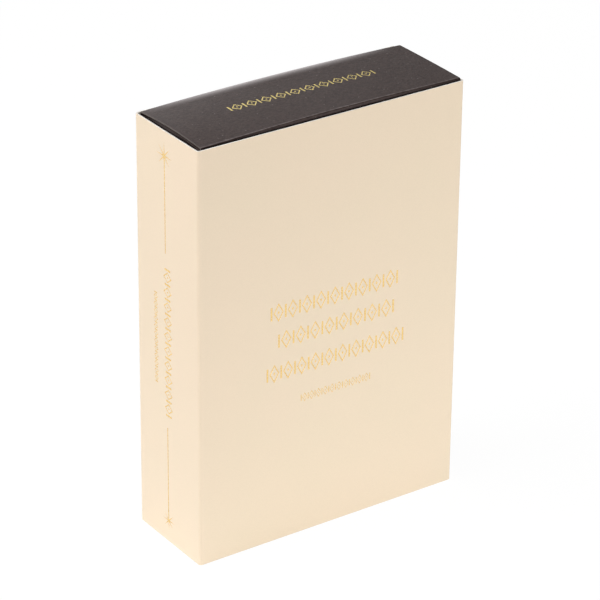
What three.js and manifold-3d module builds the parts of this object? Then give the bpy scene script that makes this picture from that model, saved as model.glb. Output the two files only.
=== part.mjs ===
// A slide-open box of long matches, standing upright on one of its narrow ends.
// The sleeve is one wrapped sheet of card, the tray is one folded sheet of card, and the matches stand in it.
// Millimetres, +Z up. X runs across the broad front, -Y is the front, and the origin is under the middle.
import * as THREE from 'three';
import { mergeVertices } from 'three/addons/utils/BufferGeometryUtils.js';
import Module from 'manifold-3d';

const wasm = await Module();
wasm.setup();

// Sleeve
const SLEEVE_WIDTH = 76;
const SLEEVE_DEPTH = 27;
const SLEEVE_LENGTH = 110;
const SLEEVE_CARD = 0.4;
const SLEEVE_FOLD = 0.4; // radius inside a fold
const BACK_SHORTFALL = 1.4; // from the broad back's raw edge to the narrow side
const FLAP_WIDTH = 13; // of the glue flap inside the broad back

// Striking strip
const STRIP_COAT = 0.12;
const STRIP_SIDE_MARGIN = 2.2;
const STRIP_END_MARGIN = 2;

// Tray
const TRAY_CARD = 0.4;
const TRAY_CLEARANCE = 0.15; // to the sleeve, on each side
const TRAY_FOLD = 0.4; // radius inside a fold
const END_FOLD = 0.7; // radius inside the soft fold between the base and each end
const FRONT_CREASE = 0.15; // radius inside each of the two creases that take an end round the front
const LAYER_GAP = 0.15; // air between two layers of card
const TAB_LENGTH = 18; // how far a side wall's tab reaches behind the end panel

// The upper end panel springs out of the sleeve a little, and was folded a little off the middle
const LEFT_LIFT = 0.3;
const RIGHT_LIFT = 0.6;
const BACK_BOW = 0.8; // on top of that, at the middle of its back fold
const FRONT_BOW = 0.6; // and at the middle of its front fold
const CROWN = 0.25; // between the two folds
const PANEL_SLIP = 0.35; // to the right
const STEPS_ACROSS = 20;
const STEPS_DEEP = 6;

// Matches
const MATCH_COLUMNS = 14;
const MATCH_ROWS = 4;
const SPLINT_WIDTH = 2.3;
const SPLINT_CHAMFER = 0.15;
const HEAD_WIDTH = 3.6;
const HEAD_LENGTH = 6;
const HEAD_ROOM = 6; // above the heads
const FINGER_ROOM = 7.6; // between the matches and the tray's open side
const MATCH_CLEARANCE = 0.3;

const FOLD_STEPS = 5;

const sleeveCard = new THREE.MeshStandardMaterial({ color: 0xefdfc4, roughness: 0.5, metalness: 0 });
const trayCard = new THREE.MeshStandardMaterial({ color: 0x5b5350, roughness: 0.7, metalness: 0 });
const strikingCoat = new THREE.MeshStandardMaterial({ color: 0x4a3630, roughness: 0.95, metalness: 0 });
const splintWood = new THREE.MeshStandardMaterial({ color: 0xe2c79a, roughness: 0.8, metalness: 0 });

// The tray's outside and inside, which follow from the sleeve.
const tray = {
  left: -SLEEVE_WIDTH / 2 + SLEEVE_CARD + TRAY_CLEARANCE,
  right: SLEEVE_WIDTH / 2 - SLEEVE_CARD - TRAY_CLEARANCE,
  front: -SLEEVE_DEPTH / 2 + SLEEVE_CARD + TRAY_CLEARANCE,
  back: SLEEVE_DEPTH / 2 - 2 * SLEEVE_CARD - TRAY_CLEARANCE,
  bottom: 0,
  top: SLEEVE_LENGTH,
};
const endStack = 3 * TRAY_CARD + 2 * LAYER_GAP; // end panel, tab and inner end panel
const wallStack = 2 * TRAY_CARD + LAYER_GAP; // outer wall and rolled inner wall
const inside = {
  left: tray.left + wallStack,
  right: tray.right - wallStack,
  front: tray.front,
  back: tray.back - TRAY_CARD,
  bottom: tray.bottom + endStack,
  top: tray.top - endStack,
};

function point(x, y, radius = 0) {
  return { at: new THREE.Vector2(x, y), radius };
}

// Outline of a sheet of card whose middle follows a path. Each inner point with a radius is a fold.
function sheetOutline(path, card) {
  const stations = [];
  const direction = (a, b) => b.at.clone().sub(a.at).normalize();
  const leftOf = (v) => new THREE.Vector2(-v.y, v.x);
  path.forEach((fold, i) => {
    const before = path[i - 1];
    const after = path[i + 1];
    if (!before || !after || fold.radius === 0) {
      const along = before ? direction(before, fold) : direction(fold, after);
      stations.push({ middle: fold.at, normal: leftOf(along) });
      return;
    }
    const into = direction(before, fold);
    const out = direction(fold, after);
    const turn = Math.atan2(into.cross(out), into.dot(out));
    const side = Math.sign(turn) * fold.radius;
    const start = fold.at.clone().addScaledVector(into, -fold.radius * Math.tan(Math.abs(turn) / 2));
    const centre = start.clone().addScaledVector(leftOf(into), side);
    for (let k = 0; k <= FOLD_STEPS; k++) {
      const normal = leftOf(into).rotateAround(new THREE.Vector2(), (turn * k) / FOLD_STEPS);
      stations.push({ middle: centre.clone().addScaledVector(normal, -side), normal });
    }
  });
  const edge = (offset) => stations.map((s) => s.middle.clone().addScaledVector(s.normal, offset));
  return new THREE.Shape([...edge(card / 2), ...edge(-card / 2).reverse()]);
}

function extrude(outline, from, to, steps = 1) {
  const options = { depth: to - from, steps, bevelEnabled: false, curveSegments: FOLD_STEPS };
  return new THREE.ExtrudeGeometry(outline, options).translate(0, 0, from);
}

// Turns an extrusion whose outline was drawn in (y, z) so that it runs along X.
function alongX(geometry) {
  const basis = new THREE.Matrix4().makeBasis(
    new THREE.Vector3(0, 1, 0),
    new THREE.Vector3(0, 0, 1),
    new THREE.Vector3(1, 0, 0),
  );
  return geometry.applyMatrix4(basis);
}

// Turns an extrusion whose outline was drawn in (z, x) so that it runs along Y.
function alongY(geometry) {
  const basis = new THREE.Matrix4().makeBasis(
    new THREE.Vector3(0, 0, 1),
    new THREE.Vector3(1, 0, 0),
    new THREE.Vector3(0, 1, 0),
  );
  return geometry.applyMatrix4(basis);
}

function toSolid(geometry) {
  const bare = geometry.clone();
  bare.deleteAttribute('normal');
  bare.deleteAttribute('uv');
  const merged = mergeVertices(bare, 1e-4);
  const mesh = new wasm.Mesh({
    numProp: 3,
    vertProperties: new Float32Array(merged.attributes.position.array),
    triVerts: new Uint32Array(merged.index.array),
  });
  return new wasm.Manifold(mesh);
}

function toGeometry(solid) {
  const mesh = solid.getMesh();
  const geometry = new THREE.BufferGeometry();
  geometry.setAttribute('position', new THREE.BufferAttribute(mesh.vertProperties, 3));
  geometry.setIndex(new THREE.BufferAttribute(mesh.triVerts, 1));
  const faceted = geometry.toNonIndexed();
  faceted.computeVertexNormals();
  return faceted;
}

// The sleeve's sheet starts at the broad back's raw edge, wraps the printed narrow side, the front and the
// other narrow side, and ends as a glue flap inside the back. Its raw edges make the two small steps.
function sleeveOutline() {
  const outer = SLEEVE_FOLD + SLEEVE_CARD;
  const right = SLEEVE_WIDTH / 2;
  const back = SLEEVE_DEPTH / 2;
  const flapOutside = back - SLEEVE_CARD;
  const flapInside = back - 2 * SLEEVE_CARD;
  const quarter = Math.PI / 2;

  const shape = new THREE.Shape();
  shape.moveTo(-right + outer, -back);
  shape.lineTo(right - outer, -back);
  shape.absarc(right - outer, -back + outer, outer, -quarter, 0, false);
  shape.lineTo(right, flapOutside - outer);
  shape.absarc(right - outer, flapOutside - outer, outer, 0, quarter, false);
  shape.lineTo(right - BACK_SHORTFALL, flapOutside);
  shape.lineTo(right - BACK_SHORTFALL, back);
  shape.lineTo(-right + outer, back);
  shape.absarc(-right + outer, back - outer, outer, quarter, 2 * quarter, false);
  shape.lineTo(-right, -back + outer);
  shape.absarc(-right + outer, -back + outer, outer, 2 * quarter, 3 * quarter, false);

  const hole = new THREE.Path();
  const inFront = -back + SLEEVE_CARD;
  const inBack = back - SLEEVE_CARD;
  const inLeft = -right + SLEEVE_CARD;
  const inRight = right - SLEEVE_CARD;
  hole.moveTo(inLeft + SLEEVE_FOLD, inFront);
  hole.lineTo(inRight - SLEEVE_FOLD, inFront);
  hole.absarc(inRight - SLEEVE_FOLD, inFront + SLEEVE_FOLD, SLEEVE_FOLD, -quarter, 0, false);
  hole.lineTo(inRight, flapInside - SLEEVE_FOLD);
  hole.absarc(inRight - SLEEVE_FOLD, flapInside - SLEEVE_FOLD, SLEEVE_FOLD, 0, quarter, false);
  hole.lineTo(right - FLAP_WIDTH, flapInside);
  hole.lineTo(right - FLAP_WIDTH, inBack);
  hole.lineTo(inLeft + SLEEVE_FOLD, inBack);
  hole.absarc(inLeft + SLEEVE_FOLD, inBack - SLEEVE_FOLD, SLEEVE_FOLD, quarter, 2 * quarter, false);
  hole.lineTo(inLeft, inFront + SLEEVE_FOLD);
  hole.absarc(inLeft + SLEEVE_FOLD, inFront + SLEEVE_FOLD, SLEEVE_FOLD, 2 * quarter, 3 * quarter, false);
  shape.holes.push(hole);
  return shape;
}

function makeSleeve() {
  return new THREE.Mesh(extrude(sleeveOutline(), 0, SLEEVE_LENGTH), sleeveCard);
}

// A thin coat of striking compound on the flat of the hidden narrow side.
function makeStrikingStrip() {
  const outer = SLEEVE_FOLD + SLEEVE_CARD;
  const front = -SLEEVE_DEPTH / 2 + outer + STRIP_SIDE_MARGIN;
  const back = SLEEVE_DEPTH / 2 - SLEEVE_CARD - outer - STRIP_SIDE_MARGIN;
  const geometry = new THREE.BoxGeometry(STRIP_COAT, back - front, SLEEVE_LENGTH - 2 * STRIP_END_MARGIN);
  const strip = new THREE.Mesh(geometry, strikingCoat);
  strip.position.set(SLEEVE_WIDTH / 2 + STRIP_COAT / 2, (front + back) / 2, SLEEVE_LENGTH / 2);
  return strip;
}

// The tray's base and its two outer side walls.
function trayTrough() {
  const half = TRAY_CARD / 2;
  const rim = tray.front + wallStack / 2;
  const fold = TRAY_FOLD + half;
  const path = [
    point(tray.left + half, rim),
    point(tray.left + half, tray.back - half, fold),
    point(tray.right - half, tray.back - half, fold),
    point(tray.right - half, rim),
  ];
  const cornerFold = TRAY_FOLD + 2 * TRAY_CARD + LAYER_GAP;
  return extrude(sheetOutline(path, TRAY_CARD), tray.bottom + cornerFold, tray.top - cornerFold);
}

// A side wall's rolled rim and inner wall. Side is -1 on the left and 1 on the right.
function rolledWall(side) {
  const half = TRAY_CARD / 2;
  const wall = side < 0 ? tray.left : tray.right;
  const outerMiddle = wall - side * half;
  const innerMiddle = outerMiddle - side * (TRAY_CARD + LAYER_GAP);
  const roll = (TRAY_CARD + LAYER_GAP) / 2;
  const path = [
    point(outerMiddle, tray.front + wallStack),
    point(outerMiddle, tray.front + half, roll),
    point(innerMiddle, tray.front + half, roll),
    point(innerMiddle, tray.back - TRAY_CARD - LAYER_GAP),
  ];
  const outline = sheetOutline(path, TRAY_CARD);
  return extrude(outline, inside.bottom + LAYER_GAP, inside.top - LAYER_GAP);
}

// The tab that turns from a side wall in behind an end panel. End is -1 at the bottom and 1 at the top.
function cornerTab(side, end) {
  const half = TRAY_CARD / 2;
  const wall = side < 0 ? tray.left : tray.right;
  const limit = end < 0 ? tray.bottom : tray.top;
  const behind = limit - end * (TRAY_CARD + LAYER_GAP + half);
  const path = [
    point(limit - end * 2 * endStack, wall - side * half),
    point(behind, wall - side * half, TRAY_FOLD + half),
    point(behind, wall - side * TAB_LENGTH),
  ];
  const front = tray.front + TRAY_CARD + LAYER_GAP;
  const back = tray.back - TRAY_CARD - LAYER_GAP;
  return alongY(extrude(sheetOutline(path, TRAY_CARD), front, back));
}

// How far the upper end panel lies above a flat one.
function bow(x, y) {
  const across = THREE.MathUtils.mapLinear(x, tray.left, tray.right, 0, 1);
  const depth = THREE.MathUtils.mapLinear(y, tray.front, tray.back, 0, 1);
  const spring = Math.pow(4 * across * (1 - across), 1.5);
  const corners = THREE.MathUtils.lerp(LEFT_LIFT, RIGHT_LIFT, across);
  const folds = THREE.MathUtils.lerp(FRONT_BOW, BACK_BOW, depth) * spring;
  return corners + folds + CROWN * 4 * depth * (1 - depth);
}

// An end wall: out of the base by a soft fold, over the tabs, round the front and back down inside.
function endWall(end) {
  const half = TRAY_CARD / 2;
  const limit = end < 0 ? tray.bottom : tray.top;
  const outerMiddle = limit - end * half;
  const innerMiddle = limit - end * (endStack - half);
  const crease = FRONT_CREASE + half;
  const deepSteps = end > 0 ? STEPS_DEEP : 1;
  const acrossSteps = end > 0 ? STEPS_ACROSS : 1;
  const panel = [];
  for (let k = 1; k < deepSteps; k++) {
    panel.push(point(THREE.MathUtils.lerp(tray.back, tray.front, k / deepSteps), outerMiddle));
  }
  const path = [
    point(tray.back - half, limit - end * 2 * endStack),
    point(tray.back - half, outerMiddle, END_FOLD + half),
    ...panel,
    point(tray.front + half, outerMiddle, crease),
    point(tray.front + half, innerMiddle, crease),
    point(tray.back - TRAY_CARD - LAYER_GAP, innerMiddle),
  ];
  const inset = TRAY_CARD + LAYER_GAP;
  const outline = sheetOutline(path, TRAY_CARD);
  const geometry = alongX(extrude(outline, tray.left + inset, tray.right - inset, acrossSteps));
  if (end > 0) {
    springPanel(geometry);
  }
  return geometry;
}

// Lifts the outer panel by its bow and slips it aside. The inner panel stays, and the folds between stretch.
function springPanel(geometry) {
  const position = geometry.attributes.position;
  const flatBelow = tray.top - endStack + TRAY_CARD;
  const fullAbove = tray.top - TRAY_CARD;
  for (let i = 0; i < position.count; i++) {
    const x = position.getX(i);
    const z = position.getZ(i);
    const share = THREE.MathUtils.clamp((z - flatBelow) / (fullAbove - flatBelow), 0, 1);
    position.setZ(i, z + share * bow(x, position.getY(i)));
    position.setX(i, x + share * PANEL_SLIP);
  }
}

function makeTray() {
  const sheets = [trayTrough()];
  for (const side of [-1, 1]) {
    sheets.push(rolledWall(side));
    for (const end of [-1, 1]) {
      sheets.push(cornerTab(side, end));
    }
  }
  sheets.push(endWall(-1), endWall(1));
  const solid = sheets.map(toSolid).reduce((whole, sheet) => whole.add(sheet));
  return new THREE.Mesh(toGeometry(solid), trayCard);
}

// Eight points round a match: a square with small chamfers on the splint, a round one on the head.
function matchSection(halfWidth, chamfer, z) {
  const near = halfWidth - chamfer;
  const corners = [[halfWidth, near], [near, halfWidth]];
  const section = [];
  for (let quarterTurn = 0; quarterTurn < 4; quarterTurn++) {
    const angle = (quarterTurn * Math.PI) / 2;
    for (const [x, y] of corners) {
      const turned = new THREE.Vector2(x, y).rotateAround(new THREE.Vector2(), angle);
      section.push(new THREE.Vector3(turned.x, turned.y, z));
    }
  }
  return section;
}

// A loft through sections of equal count, closed at both ends.
function loft(sections) {
  const count = sections[0].length;
  const position = sections.flat().flatMap((p) => p.toArray());
  const index = [];
  for (let row = 0; row < sections.length - 1; row++) {
    for (let k = 0; k < count; k++) {
      const a = row * count + k;
      const b = row * count + ((k + 1) % count);
      index.push(a, b, b + count, a, b + count, a + count);
    }
  }
  const last = (sections.length - 1) * count;
  for (let k = 1; k < count - 1; k++) {
    index.push(0, k + 1, k, last, last + k, last + k + 1);
  }
  const geometry = new THREE.BufferGeometry();
  geometry.setAttribute('position', new THREE.Float32BufferAttribute(position, 3));
  geometry.setIndex(index);
  geometry.computeVertexNormals();
  return geometry;
}

// A square splint with a dipped, drop-shaped head, standing on z = 0.
function matchGeometry(length) {
  const neck = length - HEAD_LENGTH;
  const roundChamfer = 1 - Math.tan(Math.PI / 8); // makes the section a regular octagon
  const head = (share, width) => {
    const halfWidth = (HEAD_WIDTH / 2) * width;
    return matchSection(halfWidth, halfWidth * roundChamfer, neck + HEAD_LENGTH * share);
  };
  const splint = (z) => matchSection(SPLINT_WIDTH / 2, SPLINT_CHAMFER, z);
  return loft([splint(0), splint(neck), head(0.2, 0.86), head(0.5, 1), head(0.8, 0.82), head(1, 0.36)]);
}

// Repeatable scatter between -1 and 1.
function scatter(seed) {
  const value = Math.sin(seed * 127.1 + 311.7) * 43758.5453;
  return 2 * (value - Math.floor(value)) - 1;
}

// The matches stand on the tray's lower end in rows and columns. Each leans a little inside its own space.
function makeMatches() {
  const seat = inside.bottom + MATCH_CLEARANCE;
  const length = inside.top - HEAD_ROOM - seat;
  const geometry = matchGeometry(length);
  const columnPitch = (inside.right - inside.left) / MATCH_COLUMNS;
  const rowPitch = (inside.back - inside.front - FINGER_ROOM) / MATCH_ROWS;
  const headPlay = (pitch) => Math.max(0, (pitch - HEAD_WIDTH - MATCH_CLEARANCE) / 2);
  const footPlay = (pitch) => Math.max(0, (pitch - SPLINT_WIDTH * Math.SQRT2 - MATCH_CLEARANCE) / 2);
  const matches = [];
  for (let row = 0; row < MATCH_ROWS; row++) {
    for (let column = 0; column < MATCH_COLUMNS; column++) {
      const seed = row * MATCH_COLUMNS + column + 1;
      const x = inside.left + columnPitch * (column + 0.5);
      const y = inside.back - rowPitch * (row + 0.5);
      const foot = new THREE.Vector3(
        x + scatter(seed) * footPlay(columnPitch),
        y + scatter(seed + 100) * footPlay(rowPitch),
        seat,
      );
      const tip = new THREE.Vector3(
        x + scatter(seed + 200) * headPlay(columnPitch),
        y + scatter(seed + 300) * headPlay(rowPitch),
        seat + length,
      );
      const match = new THREE.Mesh(geometry, splintWood);
      const lean = tip.clone().sub(foot).normalize();
      const turn = (scatter(seed + 400) * Math.PI) / 4;
      match.quaternion
        .setFromUnitVectors(new THREE.Vector3(0, 0, 1), lean)
        .multiply(new THREE.Quaternion().setFromAxisAngle(new THREE.Vector3(0, 0, 1), turn));
      match.position.copy(foot);
      match.name = `match_${String(seed).padStart(2, '0')}`;
      matches.push(match);
    }
  }
  return matches;
}

function named(mesh, name) {
  mesh.name = name;
  return mesh;
}

const matchbox = new THREE.Group();
matchbox.add(named(makeSleeve(), 'sleeve'));
matchbox.add(named(makeStrikingStrip(), 'striking_strip'));
matchbox.add(named(makeTray(), 'tray'));
matchbox.add(...makeMatches());

export default matchbox;
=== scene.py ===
# %% [markdown]
# # A slide-open matchbox
# The box has four kinds of piece: a pearly card sleeve, a folded card tray, a gritty striking strip and long
# matches. Card is a flat sheet that somebody folded, so we fold it here too. We start with one row of edges,
# pull it out flat with an extrude, and turn it round a fold with a spin. The imported model gives every size
# and place.

import math

import bmesh
import bpy
from mathutils import Matrix, Quaternion, Vector


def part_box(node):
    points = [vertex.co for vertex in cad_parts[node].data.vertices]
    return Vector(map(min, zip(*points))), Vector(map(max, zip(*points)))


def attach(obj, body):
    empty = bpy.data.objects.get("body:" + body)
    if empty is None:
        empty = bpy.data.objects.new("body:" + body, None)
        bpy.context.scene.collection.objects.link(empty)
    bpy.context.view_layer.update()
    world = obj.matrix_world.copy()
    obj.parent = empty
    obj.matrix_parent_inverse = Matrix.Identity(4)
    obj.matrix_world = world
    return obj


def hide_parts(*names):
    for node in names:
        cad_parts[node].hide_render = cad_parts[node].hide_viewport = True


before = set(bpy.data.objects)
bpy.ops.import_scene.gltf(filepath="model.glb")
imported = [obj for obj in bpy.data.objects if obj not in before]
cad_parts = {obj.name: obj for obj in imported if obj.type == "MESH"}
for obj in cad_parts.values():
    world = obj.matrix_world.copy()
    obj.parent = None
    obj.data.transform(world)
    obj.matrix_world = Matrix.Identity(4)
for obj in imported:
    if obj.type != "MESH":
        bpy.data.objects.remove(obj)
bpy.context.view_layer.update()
MM = 0.001

# %% [markdown]
# ## The camera
# The photograph was taken with a long lens from the front left, a little above the box. A camera is three
# directions and a place. We make the directions from an azimuth, an elevation and a small roll, as a
# photographer would say them, and step back from the middle of the box. A long lens far away keeps the
# box's edges almost parallel, as the photograph does.

# %% Aim a long lens at the middle of the sleeve
AZIMUTH = math.radians(-34.78)
ELEVATION = math.radians(26.92)
ROLL = math.radians(0.59)
DISTANCE = 0.7735
ASIDE = Vector((0.00012, 0.00092))
LENS = 190.2
SENSOR_WIDTH = 36

sleeve_low, sleeve_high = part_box("sleeve")
centre = (sleeve_low + sleeve_high) / 2
centre.x = centre.y = 0
back = Vector((
    math.sin(AZIMUTH) * math.cos(ELEVATION),
    -math.cos(AZIMUTH) * math.cos(ELEVATION),
    math.sin(ELEVATION),
))
level = Vector((0, 0, 1)).cross(back).normalized()
right = Matrix.Rotation(ROLL, 3, back) @ level
up = back.cross(right)
camera_data = bpy.data.cameras.new("camera")
camera_data.lens = LENS
camera_data.sensor_width = SENSOR_WIDTH
camera = bpy.data.objects.new("camera", camera_data)
place = centre + back * DISTANCE + right * ASIDE.x + up * ASIDE.y
turn = Matrix((right, up, back)).transposed().to_4x4()
camera.matrix_world = Matrix.Translation(place) @ turn
bpy.context.scene.collection.objects.link(camera)
bpy.context.scene.camera = camera
bpy.context.scene.view_settings.view_transform = "Standard"
print("camera at", [round(v, 4) for v in place])

# %% [markdown]
# ## Small helpers for node trees
# A material is a graph. Written out link by link it is long and hard to follow, so one helper adds a node,
# sets its options and fills its inputs. An input that is given a socket is linked, and any other value is
# typed in. The next ones do the same for arithmetic, for a straight ramp between two levels and for a mix of
# two colours.

# %% Helpers that add nodes
def add(tree, kind, inputs=None, **options):
    """Adds one node. Inputs are filled by name or number, with a socket to link or a value to type in."""
    node = tree.nodes.new(kind)
    for name, value in options.items():
        setattr(node, name, value)
    for name, value in (inputs or {}).items():
        if isinstance(value, bpy.types.NodeSocket):
            tree.links.new(value, node.inputs[name])
        else:
            node.inputs[name].default_value = value
    return node


def maths(tree, operation, *values):
    """One step of arithmetic on numbers or sockets. Returns its result."""
    return add(tree, "ShaderNodeMath", dict(enumerate(values)), operation=operation).outputs[0]


def times(tree, first, second):
    return maths(tree, "MULTIPLY", first, second)


def ramp(tree, value, first, last, low=0.0, high=1.0):
    """Low where value is first, high where it is last, straight between them and level outside."""
    inputs = {"Value": value, "From Min": first, "From Max": last, "To Min": low, "To Max": high}
    return add(tree, "ShaderNodeMapRange", inputs).outputs[0]


def mix_colour(tree, share, first, second):
    """First where share is 0, second where it is 1. A colour mix has its sockets at 0, 6 and 7."""
    return add(tree, "ShaderNodeMix", {0: share, 6: first, 7: second}, data_type="RGBA").outputs[2]


def grey(value):
    return (value, value, value, 1)


# %% [markdown]
# Two more helpers start a tree. A node group is a small effect with named inputs and outputs that several
# materials can share. A material starts with only a Principled BSDF, the shader that suits most surfaces.

# %% Helpers that start a node group or a material
def new_group(name, inputs, outputs):
    """A node group with number outputs. Each input has its usual value, or None where it is a vector."""
    tree = bpy.data.node_groups.new(name, "ShaderNodeTree")
    for title, value in inputs.items():
        kind = "NodeSocketVector" if value is None else "NodeSocketFloat"
        socket = tree.interface.new_socket(title, in_out="INPUT", socket_type=kind)
        if value is not None:
            socket.default_value = value
    for title in outputs:
        tree.interface.new_socket(title, in_out="OUTPUT", socket_type="NodeSocketFloat")
    given = tree.nodes.new("NodeGroupInput").outputs
    results = tree.nodes.new("NodeGroupOutput").inputs
    return tree, given, results


def new_material(name):
    """A material with only its output and one Principled BSDF."""
    material = bpy.data.materials.new(name)
    material.use_nodes = True
    tree = material.node_tree
    tree.nodes.clear()
    shader = add(tree, "ShaderNodeBsdfPrincipled")
    output = add(tree, "ShaderNodeOutputMaterial", {"Surface": shader.outputs[0]})
    return material, tree, shader, output


# %% [markdown]
# ## The studio
# The photograph has a plain white ground. White comes from what the camera sees of the world and the floor,
# and not from strong lamps, which would bleach the box. A Light Path node tells which ray is asking: a camera
# ray finds white, and a ray that carries light finds a plain level. A mirror-like ray, which foil and smooth
# card send out, finds a studio that is bright low down and to the left, and darker overhead and to the right.
# That gives the dark card its slow change from one side to the other.

# %% A world that is white to the camera
WORLD_LIGHT = 0.41
UP_TO_LEVEL = (0.8, 0.45)
RIGHT_TO_LEFT = (0.62, 0.42)
OVERHEAD, RIGHT_SIDE, LEFT_SIDE = 0.3, 0.1, 1.6


def sees_background(tree):
    """1 for a camera, glossy or transmission ray, and 0 for a ray that carries light."""
    path = add(tree, "ShaderNodeLightPath").outputs
    shiny = maths(tree, "MAXIMUM", path["Is Glossy Ray"], path["Is Transmission Ray"])
    return maths(tree, "MAXIMUM", path["Is Camera Ray"], shiny)


world = bpy.data.worlds.new("studio")
bpy.context.scene.world = world
world.use_nodes = True
world.node_tree.nodes.clear()
tree = world.node_tree
ray = add(tree, "ShaderNodeTexCoord").outputs["Generated"]
heading = add(tree, "ShaderNodeSeparateXYZ", {0: ray}).outputs
bright_low = ramp(tree, heading["Z"], *UP_TO_LEVEL, low=OVERHEAD)
bright_left = ramp(tree, heading["X"], *RIGHT_TO_LEFT, low=RIGHT_SIDE, high=LEFT_SIDE)
extra = maths(tree, "SUBTRACT", times(tree, bright_low, bright_left), WORLD_LIGHT)
mirrored = maths(tree, "MULTIPLY_ADD", sees_background(tree), extra, WORLD_LIGHT)
to_camera = add(tree, "ShaderNodeLightPath").outputs["Is Camera Ray"]
strength = maths(tree, "MAXIMUM", to_camera, mirrored)
sky = add(tree, "ShaderNodeBackground", {"Color": grey(1), "Strength": strength})
add(tree, "ShaderNodeOutputWorld", {"Surface": sky.outputs[0]})
print("world:", world.name, "with light", WORLD_LIGHT)

# %% [markdown]
# The floor is a white table. To the camera it is nearly all glow, and it keeps a little of its real shading,
# so the box still stands on a soft shadow. A white table also throws light back up, most of all close to the
# box's foot, and the photograph shows card that gets lighter toward the table. So the floor adds a faint glow
# that only the rays that carry light find, and that fades away from a place in front of the box.

# %% A white table that lights the foot of the box
FLOOR_COLOUR = 0.8
FLOOR_WHITE = 0.92
FLOOR_GLOW = 1.04
FLOOR_SIZE = 6.0
FLOOR_DROP = 0.0002
TABLE_REACH = 0.4
TABLE_MIDDLE = (0.07, -0.09, 0.0)
TABLE_LIGHT = 0.84
TABLE_TINT = (0.91, 1.0, 0.99, 1)

floor_bm = bmesh.new()
bmesh.ops.create_grid(floor_bm, x_segments=1, y_segments=1, size=FLOOR_SIZE / 2)
floor_mesh = bpy.data.meshes.new("floor")
floor_bm.to_mesh(floor_mesh)
floor_bm.free()
floor = bpy.data.objects.new("floor", floor_mesh)
floor.location.z = -FLOOR_DROP
bpy.context.scene.collection.objects.link(floor)

floor_material, tree, shader, output = new_material("pale_floor")
shader.inputs["Base Color"].default_value = grey(FLOOR_COLOUR)
shader.inputs["Roughness"].default_value = 0.9
shader.inputs["Specular IOR Level"].default_value = 0.0
glow = add(tree, "ShaderNodeEmission", {"Color": grey(1), "Strength": FLOOR_GLOW})
share = times(tree, sees_background(tree), FLOOR_WHITE)
blend = add(tree, "ShaderNodeMixShader", {0: share, 1: shader.outputs[0], 2: glow.outputs[0]})
where = add(tree, "ShaderNodeTexCoord").outputs["Object"]
away = add(tree, "ShaderNodeVectorMath", {0: where, 1: TABLE_MIDDLE}, operation="DISTANCE").outputs["Value"]
near_box = ramp(tree, away, TABLE_REACH, 0.0)
table = times(tree, near_box, maths(tree, "SUBTRACT", 1.0, sees_background(tree)))
lit = add(tree, "ShaderNodeEmission", {"Color": TABLE_TINT, "Strength": times(tree, table, TABLE_LIGHT)})
both = add(tree, "ShaderNodeAddShader", {0: blend.outputs[0], 1: lit.outputs[0]})
tree.links.new(both.outputs[0], output.inputs["Surface"])
floor_mesh.materials.append(floor_material)
print("floor:", FLOOR_SIZE, "m wide, lit within", TABLE_REACH, "m")

# %% [markdown]
# Three soft lamps do the rest. The key is high in front of the box and to its left, so the narrow side is a
# little brighter than the broad front, as in the photograph. The fill is weak and stands low on the right, so
# the front doesn't fall off that way. The small top lamp is close above the tray's end. All are large for
# their distance, so no hard shadow falls on the card.

# %% Three soft lamps
LAMPS = {  # where it hangs and its width, in metres, and its power in watts
    "key": ((-1.05, -1.25, 0.9), 1.4, 7.2),
    "fill": ((0.5, -0.5, 0.08), 0.6, 1.18),
    "top": ((-0.3, 0.1, 0.5), 0.3, 1.5),
}


def area_lamp(name, spot, size, power):
    """A square lamp at spot, in metres, that looks at the middle of the box."""
    data = bpy.data.lights.new(name, "AREA")
    data.shape = "SQUARE"
    data.size = size
    data.energy = power
    lamp = bpy.data.objects.new(name, data)
    lamp.location = spot
    lamp.rotation_euler = (centre - Vector(spot)).to_track_quat("-Z", "Y").to_euler()
    bpy.context.scene.collection.objects.link(lamp)


for name, (spot, size, power) in LAMPS.items():
    area_lamp(name, spot, size, power)
print("lamps:", list(LAMPS))

# %% [markdown]
# ## Gold foil
# The foil is stamped into the card, so it has no edge that stands up. The simplest true way to show it is a
# mask in the card's own material: where the mask is 1 the card is gold and smooth, and it is pressed in by a
# hair. Each motif is a small formula on two coordinates in millimetres, kept in a node group so that every
# place can have its own sizes. The motifs are plain and traditional. The first two are a thin rule and a
# starburst of eight rays.

# %% Foil motifs as masks: the rule and the star
STAR_RAYS = 8


def rule_group():
    """A straight rule: a thin bar of a given length."""
    inputs = {"Across": 0, "Along": 0, "Width": 0.3, "Half Length": 10}
    tree, given, results = new_group("foil_rule", inputs, ["Mask"])
    half_width = maths(tree, "DIVIDE", given["Width"], 2.0)
    narrow = maths(tree, "LESS_THAN", maths(tree, "ABSOLUTE", given["Across"]), half_width)
    short = maths(tree, "LESS_THAN", maths(tree, "ABSOLUTE", given["Along"]), given["Half Length"])
    tree.links.new(times(tree, narrow, short), results["Mask"])
    return tree


def star_group():
    """Thin rays that taper from the middle. The turn round the middle is wrapped to one ray."""
    inputs = {"Across": 0, "Along": 0, "Radius": 3, "Width": 0.3}
    tree, given, results = new_group("foil_star", inputs, ["Mask"])
    half_ray = math.pi / STAR_RAYS
    angle = maths(tree, "ARCTAN2", given["Across"], given["Along"])
    beside = maths(tree, "WRAP", angle, half_ray, -half_ray)
    square = times(tree, given["Across"], given["Across"])
    other_square = times(tree, given["Along"], given["Along"])
    reach = maths(tree, "SQRT", maths(tree, "ADD", square, other_square))
    off_ray = maths(tree, "ABSOLUTE", times(tree, reach, maths(tree, "SINE", beside)))
    taper = maths(tree, "SUBTRACT", 1.0, maths(tree, "DIVIDE", reach, given["Radius"]))
    half_width = maths(tree, "DIVIDE", given["Width"], 2.0)
    allowed = times(tree, maths(tree, "MAXIMUM", taper, 0.0), half_width)
    tree.links.new(maths(tree, "LESS_THAN", off_ray, allowed), results["Mask"])
    return tree


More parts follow.
